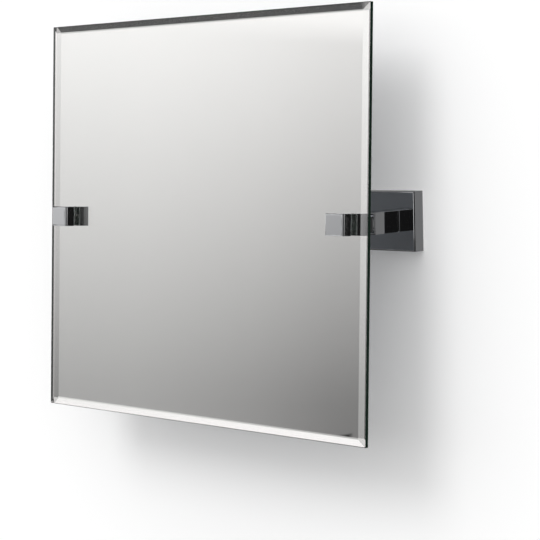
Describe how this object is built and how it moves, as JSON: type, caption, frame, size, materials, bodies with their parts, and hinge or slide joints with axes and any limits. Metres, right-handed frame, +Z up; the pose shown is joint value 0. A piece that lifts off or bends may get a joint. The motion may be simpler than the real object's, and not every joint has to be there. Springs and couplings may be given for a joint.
{
  "type": "pivot wall mirror",
  "caption": "Square bevelled wall mirror that tilts on two friction hinges, each on a square arm and wall plate.",
  "frame": {"origin": "on the wall's surface, midway between the two wall plates and level with the hinges", "axes": "+X to the right of a person who looks into the mirror, +Y into the wall, +Z up; at rest the mirror leans back by 3 degrees, its top towards the wall, as in the picture"},
  "size_m": [0.4226, 0.1004, 0.3997],
  "materials": {
    "glass": "clear float glass, ground and polished bevel, green at its edge",
    "silver": "silvered back, sealed with grey paint on the wall side",
    "chrome": "polished chrome plate",
    "cast_bracket": "die-cast, unplated, hidden under the wall plate",
    "steel_screw": "bright zinc-plated steel",
    "nylon": "natural nylon",
    "clear_pad": "soft clear vinyl"
  },
  "bodies": {
    "wall_mounts": {"left_wall_bracket": "cast_bracket", "left_wall_screw_upper": "steel_screw", "left_wall_screw_lower": "steel_screw", "left_wall_plate": "chrome", "left_grub_screw": "steel_screw", "left_arm": "chrome", "left_arm_screw": "steel_screw", "left_arm_tongue": "chrome", "right_wall_bracket": "cast_bracket", "right_wall_screw_upper": "steel_screw", "right_wall_screw_lower": "steel_screw", "right_wall_plate": "chrome", "right_grub_screw": "steel_screw", "right_arm": "chrome", "right_arm_screw": "steel_screw", "right_arm_tongue": "chrome"},
    "mirror": {"glass_pane": "glass", "silver_backing": "silver", "left_friction_washer_inner": "nylon", "left_friction_washer_outer": "nylon", "left_pivot_bolt": "steel_screw", "left_spring_washer": "steel_screw", "left_rear_clamp_block": "chrome", "left_rear_pad": "clear_pad", "left_glass_hole_bush": "nylon", "left_front_pad": "clear_pad", "left_front_clamp_block": "chrome", "left_clamp_screw": "steel_screw", "left_front_cover_cap": "chrome", "right_friction_washer_inner": "nylon", "right_friction_washer_outer": "nylon", "right_pivot_bolt": "steel_screw", "right_spring_washer": "steel_screw", "right_rear_clamp_block": "chrome", "right_rear_pad": "clear_pad", "right_glass_hole_bush": "nylon", "right_front_pad": "clear_pad", "right_front_clamp_block": "chrome", "right_clamp_screw": "steel_screw", "right_front_cover_cap": "chrome"}
  },
  "joints": [
    {"name": "tilt", "type": "hinge", "parent": "wall_mounts", "child": "mirror", "pos_m": [0, -0.061, 0], "axis": [1, 0, 0], "range_deg": [-17, 23]}
  ]
}
